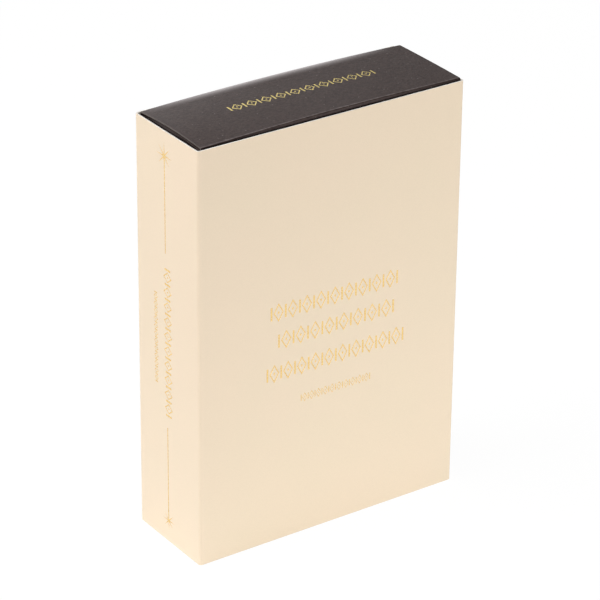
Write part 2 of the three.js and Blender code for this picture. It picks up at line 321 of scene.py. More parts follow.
RULE = rule_group()
STAR = star_group()
print("foil motifs:", RULE.name, STAR.name)

# %% [markdown]
# The third motif is a chain of open lozenges with a short bar between each two. A modulo repeats one cell of
# the chain along its length. In a cell, we divide the distance each way by the lozenge's half size that way
# and add the two. The sum is 1 on the lozenge's outline, so a thin band around 1 draws it, and a small sum in
# the middle makes a bead.

# %% Foil motifs as masks: the chain of lozenges
LOZENGE_WIDTH = 0.62  # as a share of its cell
BEAD = 0.22  # as a share of the lozenge
BAR_HEIGHT = 0.8  # as a share of the lozenge's height


def lozenge_group():
    """A chain of open lozenges, one in each pitch, with a short bar between neighbours."""
    inputs = {"Along": 0, "Across": 0, "Half Length": 18, "Pitch": 4, "Height": 4, "Stroke": 0.3, "Bar": 0.4}
    tree, given, results = new_group("foil_lozenges", inputs, ["Mask"])
    half_pitch, half_height, half_bar = (
        maths(tree, "DIVIDE", given[title], 2.0) for title in ("Pitch", "Height", "Bar")
    )
    start = maths(tree, "ADD", given["Along"], given["Half Length"])
    cell = maths(tree, "SUBTRACT", maths(tree, "MODULO", start, given["Pitch"]), half_pitch)
    beside = maths(tree, "ABSOLUTE", cell)
    above = maths(tree, "ABSOLUTE", given["Across"])

    width = times(tree, half_pitch, LOZENGE_WIDTH)
    ring = maths(tree, "ADD", maths(tree, "DIVIDE", beside, width), maths(tree, "DIVIDE", above, half_height))
    off_line = maths(tree, "ABSOLUTE", maths(tree, "SUBTRACT", ring, 1.0))
    outline = maths(tree, "LESS_THAN", off_line, maths(tree, "DIVIDE", given["Stroke"], width))
    bead = maths(tree, "LESS_THAN", ring, BEAD)
    at_edge = maths(tree, "GREATER_THAN", beside, maths(tree, "SUBTRACT", half_pitch, half_bar))
    not_tall = maths(tree, "LESS_THAN", above, times(tree, half_height, BAR_HEIGHT))
    drawn = maths(tree, "MAXIMUM", outline, maths(tree, "MAXIMUM", bead, times(tree, at_edge, not_tall)))

    reach = maths(tree, "ADD", given["Half Length"], half_bar)
    inside = maths(tree, "LESS_THAN", maths(tree, "ABSOLUTE", given["Along"]), reach)
    tree.links.new(times(tree, drawn, inside), results["Mask"])
    return tree


LOZENGES = lozenge_group()
print("foil motif:", LOZENGES.name)

# %% [markdown]
# To place a motif, a material hands its group two coordinates that are 0 in the motif's middle. Shaders
# measure in metres, so we first turn the object's own coordinates into millimetres.

# %% Helpers that place a motif
def motif(tree, group, **inputs):
    """Places one foil motif in a material and returns its mask. Underscores in names stand for spaces."""
    named = {name.replace("_", " "): value for name, value in inputs.items()}
    return add(tree, "ShaderNodeGroup", named, node_tree=group).outputs["Mask"]


def millimetres(tree):
    """Object coordinates in millimetres, as one vector and as three numbers."""
    where = add(tree, "ShaderNodeTexCoord").outputs["Object"]
    scaled = add(tree, "ShaderNodeVectorMath", {0: where, "Scale": 1 / MM}, operation="SCALE").outputs[0]
    return scaled, add(tree, "ShaderNodeSeparateXYZ", {0: scaled}).outputs


def shifted(tree, value, middle):
    return maths(tree, "SUBTRACT", value, middle)


def all_of(tree, masks):
    """The union of several masks."""
    whole = masks[0]
    for mask in masks[1:]:
        whole = maths(tree, "MAXIMUM", whole, mask)
    return whole


# %% [markdown]
# ## Card
# Card is pressed fibre. Close to, it is a fine felt with a slow unevenness under it. One node group makes
# both from noise at two scales and puts out a height and a tint, and every card finish here uses it with its
# own amounts.

# %% The card's felt, shared by all card finishes
def felt_group():
    inputs = {"Place": None, "Fibre": 3.0, "Cloud": 0.08}
    tree, given, results = new_group("card_felt", inputs, ["Height", "Tint"])
    fine = {"Vector": given["Place"], "Scale": given["Fibre"], "Detail": 4.0, "Roughness": 0.7}
    slow = {"Vector": given["Place"], "Scale": given["Cloud"], "Detail": 2.0}
    tree.links.new(add(tree, "ShaderNodeTexNoise", fine).outputs["Fac"], results["Height"])
    tree.links.new(add(tree, "ShaderNodeTexNoise", slow).outputs["Fac"], results["Tint"])
    return tree


FELT = felt_group()


def felt(tree, place, fibre, cloud):
    """Places the felt. Fibre and cloud are the scales of its fine and its slow noise."""
    inputs = {"Place": place, "Fibre": fibre, "Cloud": cloud}
    return add(tree, "ShaderNodeGroup", inputs, node_tree=FELT).outputs


def dent(tree, shader, height, depth):
    """Bumps a shader by a height in 0 to 1 that stands for depth metres."""
    bump = add(tree, "ShaderNodeBump", {"Height": height, "Distance": depth})
    tree.links.new(bump.outputs[0], shader.inputs["Normal"])


print("felt:", FELT.name)

# %% [markdown]
# The sleeve's foil sits on two faces. The front has three rows of lozenges and a small fourth row. The narrow
# side has a star, a rule, a chain of lozenges with a finer one beside it, another rule and a lower star. The
# last helper stamps a foil into a card: it lies over the card's colour, is smoother than the card and sinks
# into its felt.

# %% The sleeve's foil, and how foil is stamped
FULL_ROW = 4.4
ROW_STROKE = 0.17
ROW_BAR = 0.5
FRONT_ROWS = [  # middle in x and z, half length, pitch and height, in mm
    (1.0, 62.7, 18.4, 4.09, FULL_ROW),
    (1.6, 55.0, 16.8, 4.2, FULL_ROW),
    (1.5, 46.5, 20.0, 4.0, FULL_ROW),
    (1.6, 37.6, 10.2, 2.04, 2.2),
]
SIDE_MOTIFS = [  # motif, its middle in y and z, and its own sizes, in mm
    (STAR, 0.8, 103.7, {"Radius": 3.4, "Width": 0.5}),
    (RULE, 0.7, 91.0, {"Width": 0.34, "Half_Length": 12.4}),
    (LOZENGES, -0.1, 54.9, {"Half_Length": 19.6, "Pitch": 3.92, "Height": 3.1, "Stroke": 0.18, "Bar": 0.55}),
    (LOZENGES, 5.2, 54.6, {"Half_Length": 12.0, "Pitch": 2.0, "Height": 1.5, "Stroke": 0.13, "Bar": 0.36}),
    (RULE, 0.5, 19.2, {"Width": 0.34, "Half_Length": 12.6}),
    (STAR, 0.4, 5.9, {"Radius": 2.6, "Width": 0.42}),
]
FOIL_PRESS = 0.00003
FOIL_SMOOTH = -0.2


def front_foil(tree, x, z):
    return all_of(tree, [
        motif(tree, LOZENGES, Along=shifted(tree, x, middle), Across=shifted(tree, z, height),
              Half_Length=half, Pitch=pitch, Height=tall,
              Stroke=ROW_STROKE * tall / FULL_ROW, Bar=ROW_BAR * tall / FULL_ROW)
        for middle, height, half, pitch, tall in FRONT_ROWS
    ])


def side_foil(tree, y, z):
    return all_of(tree, [
        motif(tree, group, Across=shifted(tree, y, middle), Along=shifted(tree, z, height), **sizes)
        for group, middle, height, sizes in SIDE_MOTIFS
    ])


def stamp(tree, shader, foil, gold, card, rough, fibres, depth):
    """Gives a shader its card and its foil. Depth says how deep the felt is beside the foil's dent."""
    tree.links.new(mix_colour(tree, foil, card, gold), shader.inputs["Base Color"])
    tree.links.new(maths(tree, "MULTIPLY_ADD", foil, FOIL_SMOOTH, rough), shader.inputs["Roughness"])
    tree.links.new(foil, shader.inputs["Metallic"])
    height = maths(tree, "MULTIPLY_ADD", fibres, depth, times(tree, foil, -1.0))
    dent(tree, shader, height, FOIL_PRESS)


print("motifs on the sleeve:", len(FRONT_ROWS) + len(SIDE_MOTIFS))

# %% [markdown]
# The sleeve's outside is cream card with a pearl coat. Its tiny flakes catch the light one by one, and a fine
# Voronoi pattern gives that as small changes of brightness and roughness. Object coordinates run through the
# whole box, so a mask also has to say on which face a motif lies.

# %% Pearl card with its foil
PEARL = (0.86, 0.715, 0.535, 1)
PEARL_WARM = (0.89, 0.715, 0.545, 1)
GOLD = (0.88, 0.62, 0.26, 1)
FLAKES = 6.0
FACE_DEPTH = 0.1


def pearl_card():
    material, tree, shader, _ = new_material("pearl_card")
    place, (x, y, z) = millimetres(tree)
    on_front = maths(tree, "LESS_THAN", y, sleeve_low.y / MM + FACE_DEPTH)
    on_side = maths(tree, "LESS_THAN", x, sleeve_low.x / MM + FACE_DEPTH)
    in_front = times(tree, front_foil(tree, x, z), on_front)
    foil = maths(tree, "MAXIMUM", in_front, times(tree, side_foil(tree, y, z), on_side))

    weave = felt(tree, place, fibre=2.2, cloud=0.05)
    flakes = add(tree, "ShaderNodeTexVoronoi", {"Vector": place, "Scale": FLAKES})
    glint = add(tree, "ShaderNodeSeparateColor", {0: flakes.outputs["Color"]}).outputs[0]
    plain = mix_colour(tree, weave["Tint"], PEARL, PEARL_WARM)
    bright = maths(tree, "MULTIPLY_ADD", glint, 0.03, 0.985)
    card = add(tree, "ShaderNodeHueSaturation", {"Color": plain, "Value": bright}).outputs[0]
    rough = maths(tree, "MULTIPLY_ADD", glint, 0.1, 0.42)
    stamp(tree, shader, foil, GOLD, card, rough, weave["Height"], depth=0.12)
    shader.inputs["Specular IOR Level"].default_value = 0.35
    shader.inputs["Sheen Weight"].default_value = 0.05
    return material


pearl = pearl_card()
print("outside of the sleeve:", pearl.name)

# %% [markdown]
# The inside of the sleeve has no coat: it is plain, whiter board. A cut edge shows the same white core, a
# little torn and fuzzy. The tray's card is dyed right through, so its cut edge is only a shade lighter than
# its face.

# %% Plain board and cut edges
BOARD_SHADE = 0.94
BOARD_FELT = 0.00003


def plain_board(name, colour, fibre):
    material, tree, shader, _ = new_material(name)
    place, _ = millimetres(tree)
    weave = felt(tree, place, fibre, cloud=0.06)
    darker = tuple(v * BOARD_SHADE for v in colour[:3]) + (1,)
    tree.links.new(mix_colour(tree, weave["Height"], darker, colour), shader.inputs["Base Color"])
    shader.inputs["Roughness"].default_value = 0.85
    shader.inputs["Specular IOR Level"].default_value = 0.2
    dent(tree, shader, weave["Height"], BOARD_FELT)
    return material


inside_board = plain_board("inside_board", (0.83, 0.78, 0.70, 1), 2.0)
cut_edge = plain_board("cut_edge", (0.95, 0.90, 0.83, 1), 4.0)
dark_cut = plain_board("dark_cut_edge", (0.15, 0.13, 0.12, 1), 4.0)
print("boards:", [m.name for m in (inside_board, cut_edge, dark_cut)])

# %% [markdown]
# Dark card shows every touch. Its felt wears paler where it stands up, and it holds a few dusty specks.
# Light and shade are painted on it too: the sharp crease at the front of the end has a painted highlight in
# patches, and the soft fold at the back has a painted sheen, which shows only when we look along it. Beside
# the front fold and the left edge, low on the panel, hardly any light reaches the card, so a mask paints
# shade there.

# %% Where dark card is worn, and where light and shade are painted on it
DARK = (0.014, 0.006, 0.005, 1)
DARK_WORN = (0.044, 0.027, 0.023, 1)
DUST = (0.30, 0.27, 0.25, 1)
# From here the numbers are in mm, but for the fall, which is a power, and grazing, which is a turn.
CREASE_INSET = 0.5
CREASE_REACH = (0.22, 0.05)
# Where the back fold's painted sheen lies, how it fades and how high the fold must stand for it.
SHEEN_REACH = (4.2, 1.0)
SHEEN_FALL = 2.4
SHEEN_RISE = (0.8, 1.3)
GRAZING = (0.15, 0.5)
GAP_FRONT = 0.25
GAP_SIDE = 0.5
GAP_HEIGHT = (0.7, 0.1)
tray_low, tray_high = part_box("tray")
rim_height = sleeve_high.z / MM


def worn_felt(tree, place, contrast):
    """The card's own colour: worn where contrast is high, with a few specks of dust."""
    specks = add(tree, "ShaderNodeTexVoronoi", {"Vector": place, "Scale": 0.5})
    near_speck = maths(tree, "LESS_THAN", specks.outputs["Distance"], 0.08)
    worn = mix_colour(tree, contrast, DARK, DARK_WORN)
    return mix_colour(tree, times(tree, near_speck, 0.4), worn, DUST)


def crease_highlight(tree, y, contrast):
    """Patches of painted highlight along the crease at the front of the end."""
    from_crease = maths(tree, "ABSOLUTE", shifted(tree, y, tray_low.y / MM + CREASE_INSET))
    patches = maths(tree, "MULTIPLY_ADD", contrast, 0.6, 0.4)
    return times(tree, ramp(tree, from_crease, *CREASE_REACH), patches)


def painted_fold_sheen(tree, y, z):
    """The part of the back fold that stands above the sleeve's rim, where a sheen is painted."""
    close = ramp(tree, shifted(tree, tray_high.y / MM, y), *SHEEN_REACH)
    raised = ramp(tree, z, rim_height + SHEEN_RISE[0], rim_height + SHEEN_RISE[1])
    return times(tree, maths(tree, "POWER", close, SHEEN_FALL), raised)


def deep_gap(tree, x, y, z):
    """Low down beside the front fold and the left edge, where shade is painted."""
    past_fold = maths(tree, "LESS_THAN", y, tray_low.y / MM + GAP_FRONT)
    past_edge = maths(tree, "LESS_THAN", x, tray_low.x / MM + GAP_SIDE)
    low_down = ramp(tree, z, rim_height + GAP_HEIGHT[0], rim_height + GAP_HEIGHT[1])
    return times(tree, maths(tree, "MAXIMUM", past_fold, past_edge), low_down)


print("sleeve's rim, in mm:", round(rim_height, 2))

# %% [markdown]
# The end's foil is one chain of lozenges. The finish lays one colour over the next, from the card's own up to
# the foil. Layer Weight tells how much a surface turns away from the camera, so the painted sheen can wait
# for a grazing look.

# %% Dark card with its foil
# The colour of the painted highlight on the front crease.
CREASE_HIGHLIGHT = (0.17, 0.145, 0.14, 1)
# The colour of the painted sheen on the back fold.
FOLD_SHEEN = (0.50, 0.46, 0.46, 1)
# The colour of the painted shade in the gap beside the sleeve.
GAP_SHADE = (0.004, 0.0015, 0.0015, 1)
PALE_GOLD = (0.80, 0.67, 0.25, 1)
END_DEPTH = 0.3


def dark_card():
    material, tree, shader, _ = new_material("dark_card")
    place, (x, y, z) = millimetres(tree)
    on_end = maths(tree, "GREATER_THAN", z, rim_height - END_DEPTH)
    chain = motif(tree, LOZENGES, Along=shifted(tree, x, 0.6), Across=shifted(tree, y, 0.6),
                  Half_Length=20.5, Pitch=4.1, Height=2.8, Stroke=0.18, Bar=0.4)
    foil = times(tree, chain, on_end)

    weave = felt(tree, place, fibre=1.3, cloud=0.07)
    contrast = ramp(tree, weave["Height"], 0.35, 0.65)
    dusted = worn_felt(tree, place, contrast)
    # A painted highlight along the front crease, broken into patches by the felt.
    crease_light = times(tree, crease_highlight(tree, y, contrast), on_end)
    creased = mix_colour(tree, crease_light, dusted, CREASE_HIGHLIGHT)
    turned = add(tree, "ShaderNodeLayerWeight", {"Blend": 0.5}).outputs["Facing"]
    # A painted sheen on the back fold, which stands in for its reflection at a grazing look.
    painted_sheen = times(tree, painted_fold_sheen(tree, y, z), ramp(tree, turned, *GRAZING))
    folded = mix_colour(tree, painted_sheen, creased, FOLD_SHEEN)
    gap = times(tree, deep_gap(tree, x, y, z), on_end)
    card = mix_colour(tree, gap, folded, GAP_SHADE)

    rough = maths(tree, "MULTIPLY_ADD", weave["Tint"], 0.1, 0.42)
    stamp(tree, shader, foil, PALE_GOLD, card, rough, weave["Height"], depth=2.6)
    # The painted shade in the gap also takes away most of the card's reflection.
    tree.links.new(maths(tree, "MULTIPLY_ADD", gap, -0.45, 0.5), shader.inputs["Specular IOR Level"])
    shader.inputs["Specular Tint"].default_value = (1, 0.87, 0.86, 1)
    return material


dark = dark_card()
print("tray:", dark.name)

# %% [markdown]
# ## Folding card
# A sheet with no thickness is enough to fold with, because a Solidify modifier gives it its card later. Two
# moves make every form. Flat pulls a row of edges along in a straight line. Fold spins the row round a fold's
# own axis, so the fold comes out as a true arc of any radius. Each move gives back the new front row, and the
# next move starts there, so the finished sheet is one connected piece, as the real one is.

# %% The two moves: flat and fold
CARD = 0.4 * MM
FOLD_STEPS = 10


def ends_of(edges):
    """The vertices of some edges, each once."""
    return list({v for e in edges for v in e.verts})


def flat(bm, row, way, steps=1):
    """Pulls a row of edges along a vector, in equal steps. Returns the new row."""
    for _ in range(steps):
        made = bmesh.ops.extrude_edge_only(bm, edges=row)["geom"]
        fresh = {v for v in made if isinstance(v, bmesh.types.BMVert)}
        bmesh.ops.translate(bm, verts=list(fresh), vec=Vector(way) / steps)
        row = [e for e in made if isinstance(e, bmesh.types.BMEdge) and set(e.verts) <= fresh]
    return row


def fold(bm, row, pivot, axis, degrees):
    """Turns a row of edges round an axis through pivot. Returns the new row."""
    made = bmesh.ops.spin(
        bm, geom=ends_of(row) + row, cent=pivot, axis=axis, dvec=(0, 0, 0),
        angle=math.radians(degrees), steps=FOLD_STEPS, use_duplicate=False,
    )["geom_last"]
    return [e for e in made if isinstance(e, bmesh.types.BMEdge)]


def start_row(bm, points):
    """A row of edges through some points."""
    verts = [bm.verts.new(p) for p in points]
    return [bm.edges.new(pair) for pair in zip(verts, verts[1:])]


def spread(first, last, steps):
    """Steps + 1 evenly spaced values."""
    return [first + (last - first) * k / steps for k in range(steps + 1)]


# %% [markdown]
# A last helper turns a folded sheet into card. Solidify gives it its thickness, with one material outside,
# one inside and one on the cut edge. A tiny bevel softens every cut, and weighted normals keep the large
# flats flat to the light.

# %% From a folded sheet to a piece of card
TINY = 1e-6
SOFT_EDGE = 0.06 * MM
SHARP = math.radians(60)


def card_piece(name, bm, materials, inside_offset, body, nodes):
    """Finishes a folded sheet. The first material is its face and the last its cut edge."""
    bmesh.ops.remove_doubles(bm, verts=bm.verts, dist=TINY)
    bmesh.ops.recalc_face_normals(bm, faces=bm.faces)
    mesh = bpy.data.meshes.new(name)
    bm.to_mesh(mesh)
    bm.free()
    for material in materials:
        mesh.materials.append(material)
    mesh.shade_smooth()
    piece = bpy.data.objects.new(name, mesh)
    bpy.context.scene.collection.objects.link(piece)
    thick = piece.modifiers.new("card", "SOLIDIFY")
    thick.thickness = CARD
    thick.offset = 0
    thick.use_even_offset = True
    thick.material_offset = inside_offset
    thick.material_offset_rim = len(materials) - 1
    soft = piece.modifiers.new("soft_edge", "BEVEL")
    soft.width = SOFT_EDGE
    soft.segments = 2
    soft.limit_method = "ANGLE"
    soft.angle_limit = SHARP
    even = piece.modifiers.new("even_light", "WEIGHTED_NORMAL")
    even.weight = 100
    even.keep_sharp = True
    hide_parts(*nodes)
    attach(piece, body)
    print(name, "sheet faces:", len(mesh.polygons))


# %% [markdown]
# ## The sleeve
# The sleeve is one strip of card wrapped round the tray. It starts at the broad back's raw edge, goes round
# the printed narrow side, the front and the other narrow side, and ends as a glue flap inside the back. The
# starting row is the back's upright cut edge. From there it is flat, fold, flat, fold, all the way round.

# %% Wrap the sleeve
SLEEVE_FOLD = 0.4 * MM + CARD / 2
GLUE = 0.02 * MM
BACK_SHORTFALL = 1.4 * MM
FLAP_WIDTH = 13 * MM


def wrap_sleeve():
    bm = bmesh.new()
    left, right_side = sleeve_low.x + CARD / 2, sleeve_high.x - CARD / 2
    front, rear = sleeve_low.y + CARD / 2, sleeve_high.y - CARD / 2
    flap = rear - CARD - GLUE
    r = SLEEVE_FOLD
    up_axis = (0, 0, 1)
    raw_edge = sleeve_high.x - BACK_SHORTFALL
    row = start_row(bm, [(raw_edge, rear, h) for h in spread(sleeve_low.z, sleeve_high.z, 8)])
    row = flat(bm, row, (left + r - raw_edge, 0, 0), 8)
    row = fold(bm, row, (left + r, rear - r, 0), up_axis, 90)
    row = flat(bm, row, (0, front - rear + 2 * r, 0), 4)
    row = fold(bm, row, (left + r, front + r, 0), up_axis, 90)
    row = flat(bm, row, (right_side - left - 2 * r, 0, 0), 8)
    row = fold(bm, row, (right_side - r, front + r, 0), up_axis, 90)
    row = flat(bm, row, (0, flap - front - 2 * r, 0), 4)
    row = fold(bm, row, (right_side - r, flap - r, 0), up_axis, 90)
    flat(bm, row, (-(FLAP_WIDTH - CARD / 2 - r), 0, 0), 2)
    return bm


sleeve_materials = [pearl, inside_board, cut_edge]
card_piece("sleeve_card", wrap_sleeve(), sleeve_materials, 1, "sleeve", ["sleeve"])

# %% [markdown]
# ## The tray
# The tray is folded from one sheet too. Its base is the broad back, and its open side faces the front. Card
# that was folded wants to open again, so the upper end panel springs outward a little. Its corners stand
# above the sleeve, its two folds bow up between them, and its left edge is crowned most. The panel has also
# slipped to the right, with its left edge a little askew. One function says how far up a place on the panel
# has gone, and one how far to the right.

# %% How the upper end springs and slips
LEFT_LIFT = 0.3 * MM
LEFT_BACK_LIFT = 0.65 * MM
RIGHT_LIFT = 0.6 * MM
BACK_BOW = 0.75 * MM
FRONT_BOW = 0.6 * MM
CROWN = 0.12 * MM
LEFT_CROWN = 0.5 * MM
ROLL_OFF = 0.05 * MM
ROLL_DEPTH = 2 * MM
PANEL_SLIP = 0.35 * MM
PANEL_SKEW = 0.75 * MM


def on_panel(x, y):
    """A place on the end panel, as shares of its width from the left and of its depth from the front."""
    across = (x - tray_low.x) / (tray_high.x - tray_low.x)
    depth = (y - tray_low.y) / (tray_high.y - tray_low.y)
    return across, depth


def spring(x, y):
    """How far the upper end panel lies above a flat one."""
    across, depth = on_panel(x, y)
    bulge = max(0.0, 4 * across * (1 - across))
    left = LEFT_LIFT + (LEFT_BACK_LIFT - LEFT_LIFT) * depth
    corners = left + (RIGHT_LIFT - left) * across
    folds = FRONT_BOW * bulge ** 1.5 * (1 - depth) + BACK_BOW * bulge ** 0.9 * depth
    past = max(0.0, 1 - (tray_high.y - y) / ROLL_DEPTH)
    crown = (CROWN + LEFT_CROWN * (1 - across) ** 4) * 4 * depth * (1 - depth)
    return corners + folds + crown - ROLL_OFF * bulge * past * past


def slip(x, y):
    """How far the upper end panel has moved to the right."""
    across, depth = on_panel(x, y)
    return PANEL_SLIP - PANEL_SKEW * depth * (1 - across)


print("spring in the middle of the back fold, in mm:", round(spring(0, tray_high.y) / MM, 2))

# %% [markdown]
# Each side wall rolls over at the rim and comes back down inside. Where a side wall ends, a tab turns the
# corner and goes in behind the end panel. A row to fold from is found by its place: the edges of the sheet
# whose two ends both pass a small test.

# %% The side walls and their tabs
GAP = 0.15 * MM
TRAY_FOLD = 0.4 * MM + CARD / 2
TAB_LENGTH = 18 * MM
TAB_TAPER = 0.86
WALL_STACK = 2 * CARD + GAP


def edges_where(bm, test):
    """The edges whose two ends both pass a test on their place."""
    return [e for e in bm.edges if all(test(v.co) for v in e.verts)]


def near(value, target):
    return abs(value - target) < TINY


def between(value, first, last):
    return first - TINY < value < last + TINY


def fold_wall(bm, side, base_edge, levels):
    """A side wall out of the base's long edge, with its rolled rim, its inner wall and its two tabs."""
    low, roll_low, roll_high, high = levels
    outer = base_edge + side * TRAY_FOLD
    rear, front = tray_high.y - CARD / 2, tray_low.y
    tab_back, tab_front, rim = rear - TRAY_FOLD, front + CARD + GAP, front + WALL_STACK / 2
    row = edges_where(bm, lambda p: near(p.x, base_edge) and between(p.z, low, high))
    row = fold(bm, row, (base_edge, rear - TRAY_FOLD, 0), (0, 0, 1), -side * 90)
    row = flat(bm, row, (0, tab_front - tab_back, 0), 4)
    row = flat(bm, row, (0, rim - tab_front, 0))

    rolled = [e for e in row if all(between(v.co.z, roll_low, roll_high) for v in e.verts)]
    roll = (CARD + GAP) / 2
    row = fold(bm, rolled, (outer - side * roll, rim, 0), (0, 0, 1), -side * 180)
    flat(bm, row, (0, rear - CARD - GAP - rim, 0), 4)

    for end, height in ((-1, low), (1, high)):
        row = edges_where(
            bm, lambda p: near(p.z, height) and near(p.x, outer) and between(p.y, tab_front, tab_back)
        )
        row = fold(bm, row, (outer - side * TRAY_FOLD, 0, height), (0, 1, 0), -side * end * 90)
        row = flat(bm, row, (-side * (TAB_LENGTH - CARD / 2 - TRAY_FOLD), 0, 0), 3)
        middle = Matrix.Translation((0, -(tab_front + tab_back) / 2, 0))
        bmesh.ops.scale(bm, vec=(1, TAB_TAPER, 1), verts=ends_of(row), space=middle)

    upper = [v for v in bm.verts if v.co.z > high - TINY and v.co.x * side > 0 and v.co.y < rear - TINY]
    for v in upper:
        v.co.z += spring(v.co.x, v.co.y) * min(1.0, (rear - v.co.y) / TRAY_FOLD)


# %% [markdown]
# An end wall folds out of the base by a soft fold, lies over the tabs, goes round the front by two sharp
# creases and comes back inside. It is wider than the row that it starts from, so we move its side edges out.
# At the upper end, every vertex of the panel then takes its spring and its slip, and the layer inside takes
# none.

# %% The end walls
END_FOLD = 0.7 * MM + CARD / 2
FRONT_CREASE = 0.15 * MM + CARD / 2
END_STACK = 3 * CARD + 2 * GAP


def fold_end(bm, row, end):
    """An end wall out of a row at the base's short edge: over the tabs, round the front and back inside."""
    limit = sleeve_low.z if end < 0 else sleeve_high.z
    outer, inner = limit - end * CARD / 2, limit - end * (END_STACK - CARD / 2)
    rear, front = tray_high.y - CARD / 2, tray_low.y + CARD / 2
    before = set(bm.verts)
    base_row = ends_of(row)
    turn = outer - end * END_FOLD
    row = flat(bm, row, (0, 0, turn - base_row[0].co.z))
    row = fold(bm, row, (0, rear - END_FOLD, turn), (1, 0, 0), end * 90)
    row = flat(bm, row, (0, END_FOLD - ROLL_DEPTH, 0), 6)
    row = flat(bm, row, (0, front + FRONT_CREASE - rear + ROLL_DEPTH, 0), 8)
    row = fold(bm, row, (0, front + FRONT_CREASE, outer - end * FRONT_CREASE), (1, 0, 0), end * 90)
    row = flat(bm, row, (0, 0, inner - outer + end * 2 * FRONT_CREASE))
    row = fold(bm, row, (0, front + FRONT_CREASE, inner + end * FRONT_CREASE), (1, 0, 0), end * 90)
    flat(bm, row, (0, rear - CARD - GAP - front - FRONT_CREASE, 0), 4)

    fresh = [v for v in bm.verts if v not in before]
    narrow = max(v.co.x for v in base_row)
    wide = tray_high.x - CARD - GAP
    for v in fresh:
        if near(abs(v.co.x), narrow):
            v.co.x = math.copysign(wide, v.co.x)
    if end > 0:
        flat_below, full_above = limit - END_STACK + CARD, limit - CARD
        for v in fresh:
            share = min(1.0, max(0.0, (v.co.z - flat_below) / (full_above - flat_below)))
            v.co.z += share * spring(v.co.x, v.co.y)
            v.co.x += share * slip(v.co.x, v.co.y)


# %% [markdown]
# The whole tray starts as one row, low on the base. We pull the base up from it. Its two long edges give the
# side walls, its first row gives the lower end, and its last row the upper end.

# %% Fold the tray
CORNER_FOLD = TRAY_FOLD + CARD / 2 + CARD + GAP


def fold_tray():
    bm = bmesh.new()
    bottom, top = sleeve_low.z, sleeve_high.z
    rear = tray_high.y - CARD / 2
    levels = (bottom + CORNER_FOLD, bottom + END_STACK + GAP, top - END_STACK - GAP, top - CORNER_FOLD)
    low, roll_low, roll_high, high = levels
    base_edge = tray_high.x - CARD / 2 - TRAY_FOLD
    row = start_row(bm, [(x, rear, low) for x in spread(-base_edge, base_edge, 28)])
    lower_end = row
    row = flat(bm, row, (0, 0, roll_low - low))
    row = flat(bm, row, (0, 0, roll_high - roll_low), 6)
    upper_end = flat(bm, row, (0, 0, high - roll_high))
    fold_wall(bm, -1, -base_edge, levels)
    fold_wall(bm, 1, base_edge, levels)
    fold_end(bm, lower_end, -1)
    fold_end(bm, upper_end, 1)
    return bm


card_piece("tray_card", fold_tray(), [dark, dark_cut], 0, "tray", ["tray"])

# %% [markdown]
# ## The striking strip
# The strip is a coat of red phosphorus and ground glass in glue, brushed on or rolled on in a pattern of fine
# dots. It has hardly any thickness. We bevel a thin box so its edges feather into the card, and the grit is
# a bump: sharp little grains on a dull, dark brown ground.

# %% The striking strip's grit
GRIT_DARK = (0.016, 0.010, 0.009, 1)
GRIT_PALE = (0.062, 0.030, 0.024, 1)
GRIT_DEPTH = 0.00008


def grit_coat():
    material, tree, shader, _ = new_material("striking_coat")
    place, _ = millimetres(tree)
    grains = add(tree, "ShaderNodeTexVoronoi", {"Vector": place, "Scale": 2.2})
    dust = add(tree, "ShaderNodeTexNoise", {"Vector": place, "Scale": 5.0, "Detail": 3.0})
    dot = maths(tree, "SUBTRACT", 1.0, grains.outputs["Distance"])
    height = maths(tree, "MULTIPLY_ADD", dust.outputs["Fac"], 0.5, dot)
    tree.links.new(mix_colour(tree, dot, GRIT_DARK, GRIT_PALE), shader.inputs["Base Color"])
    shader.inputs["Roughness"].default_value = 0.85
    shader.inputs["Specular IOR Level"].default_value = 0.3
    dent(tree, shader, height, GRIT_DEPTH)
    return material


# %% [markdown]
# The coat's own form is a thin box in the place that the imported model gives. Only its outer edges are
# bevelled, because the inner ones lie on the card.

# %% Coat the strip
FEATHER = 0.08 * MM

strip_low, strip_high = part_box("striking_strip")
strip_bm = bmesh.new()
middle = (strip_low + strip_high) / 2
size = strip_high - strip_low
bmesh.ops.create_cube(strip_bm, size=1.0, matrix=Matrix.Translation(middle) @ Matrix.Diagonal((*size, 1)))
outer_edges = [e for e in strip_bm.edges if all(v.co.x > middle.x for v in e.verts)]
bmesh.ops.bevel(strip_bm, geom=outer_edges, offset=FEATHER, offset_type="OFFSET", segments=3,
                profile=0.5, affect="EDGES", material=-1)
strip_mesh = bpy.data.meshes.new("striking_strip_coat")
strip_bm.to_mesh(strip_mesh)
strip_bm.free()
strip_mesh.materials.append(grit_coat())
strip = bpy.data.objects.new("striking_strip_coat", strip_mesh)
bpy.context.scene.collection.objects.link(strip)
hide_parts("striking_strip")
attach(strip, "sleeve")
print("strip, in mm:", [round(v / MM, 2) for v in size])

# %% [markdown]
# ## The matches
# A match is a square splint whose end was dipped twice in thick paste, so the head is a drop that is fullest
# in its middle. Both are one skin: a ring of points that is a square with soft corners on the wood and turns
# round on the head. The ring is a superellipse, and its exponent decides how square it is. We pull the ring
# up station by station and reshape it each time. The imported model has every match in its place, leaning a
# little its own way, so each new match takes its foot, its tip and its turn from there.

# %% The shape of a match
RING = 24
SPLINT_WIDTH = 2.3 * MM
HEAD_WIDTH = 3.6 * MM
HEAD_LENGTH = 6.0 * MM
SQUARE, ROUND = 9.0, 2.0


def ring_points(width, exponent):
    """A superellipse as wide as width, flat sides facing the axes."""
    points = []
    for k in range(RING):
        angle = 2 * math.pi * (k + 0.5) / RING
        c, s = math.cos(angle), math.sin(angle)
        reach = (abs(c) ** exponent + abs(s) ** exponent) ** (-1 / exponent)
        points.append(Vector((c * reach * width / 2, s * reach * width / 2)))
    return points


